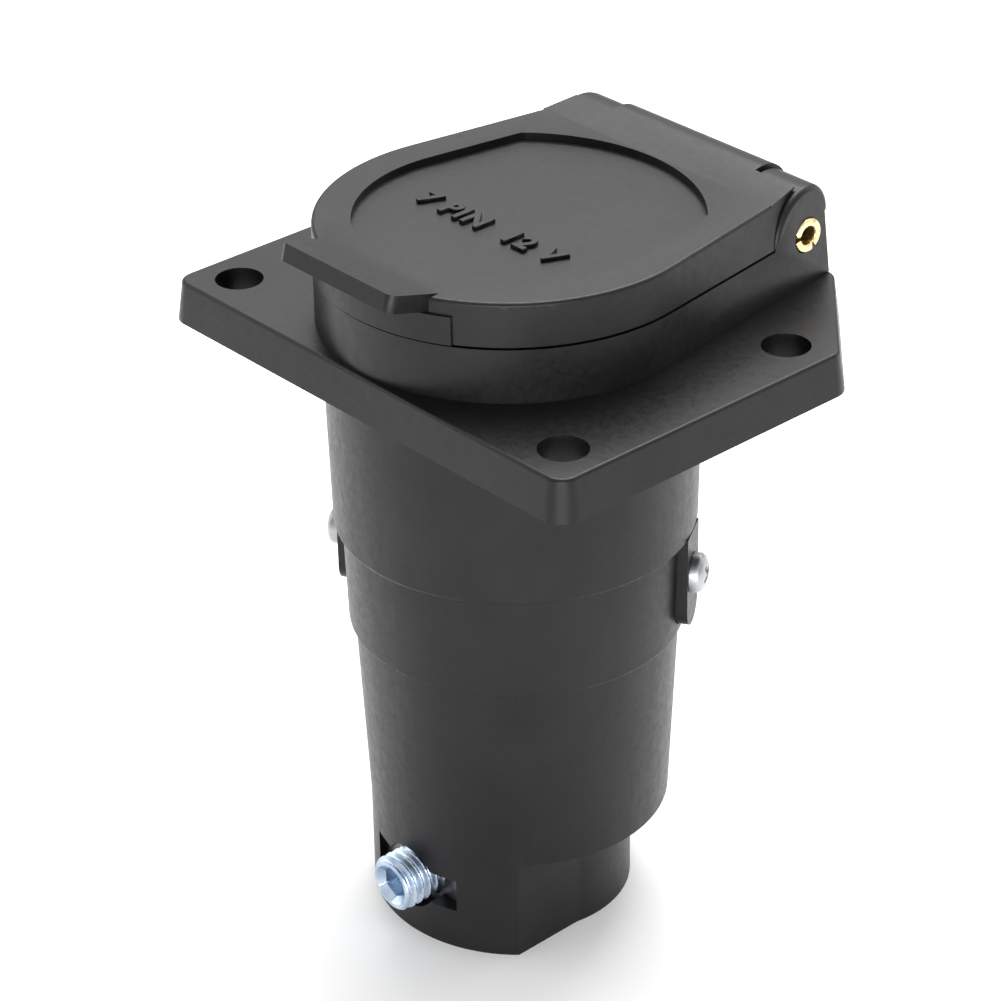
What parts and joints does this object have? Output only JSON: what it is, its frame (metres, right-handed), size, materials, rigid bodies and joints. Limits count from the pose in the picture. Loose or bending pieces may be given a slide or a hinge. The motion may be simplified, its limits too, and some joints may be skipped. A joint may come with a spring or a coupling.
{
  "type": "trailer wiring connector",
  "caption": "Round flanged vehicle-side trailer wiring socket with a sprung hinged lid, flat blade contacts, a two-piece barrel and a cable clamp with a set screw.",
  "frame": {"origin": "centre of the four mounting holes, on the flange's mounting face", "axes": "+Z out of the socket towards the lid, +Y towards the hinge, +X along the hinge pin. The barrel's axis is parallel to Z at y = 1 mm."},
  "size_m": [0.0756, 0.0672, 0.1036],
  "materials": {
    "black_plastic": "satin, fine moulded grain",
    "insulator_plastic": "matt",
    "seal_rubber": "matt",
    "pin_brass": "rolled, bright",
    "contact_brass": "stamped and machined",
    "zinc_steel": "bright zinc plate",
    "spring_steel": "drawn wire"
  },
  "bodies": {
    "housing": {"housing": "black_plastic", "rear_shell": "black_plastic", "hinge_pin": "pin_brass", "lid_spring": "spring_steel", "side_screw_right": "zinc_steel", "side_screw_left": "zinc_steel", "contact_carrier": "insulator_plastic", "centre_contact": "contact_brass", "clamp_nut_plate": "zinc_steel", "blade_contact_1": "contact_brass", "blade_contact_2": "contact_brass", "blade_contact_3": "contact_brass", "blade_contact_4": "contact_brass", "blade_contact_5": "contact_brass", "blade_contact_6": "contact_brass", "terminal_screw_1": "zinc_steel", "terminal_screw_2": "zinc_steel", "terminal_screw_3": "zinc_steel", "terminal_screw_4": "zinc_steel", "terminal_screw_5": "zinc_steel", "terminal_screw_6": "zinc_steel", "terminal_screw_centre": "zinc_steel"},
    "lid": {"lid": "black_plastic", "lid_seal": "seal_rubber"},
    "clamp_saddle": {"clamp_saddle": "zinc_steel"},
    "clamp_screw": {"clamp_screw": "zinc_steel"}
  },
  "joints": [
    {"name": "lid_hinge", "type": "hinge", "parent": "housing", "child": "lid", "pos_m": [0, 0.0328, 0.0128], "axis": [-1, 0, 0], "range_deg": [0, 110], "stiffness_Nm_per_rad": 0.03, "springref_deg": -34.38, "deforming": ["lid_spring"]},
    {"name": "clamp_travel", "type": "slide", "parent": "housing", "child": "clamp_saddle", "axis": [0, 1, 0], "range_m": [0, 0.005]},
    {"name": "clamp_screw_turn", "type": "hinge", "parent": "clamp_saddle", "child": "clamp_screw", "pos_m": [0, -0.0175, -0.0738], "axis": [0, 1, 0], "range_deg": [0, 1445]}
  ],
  "couplings": [
    {"joint": "clamp_screw_turn", "follows": "clamp_travel", "rad_per_m": 5026.5}
  ]
}
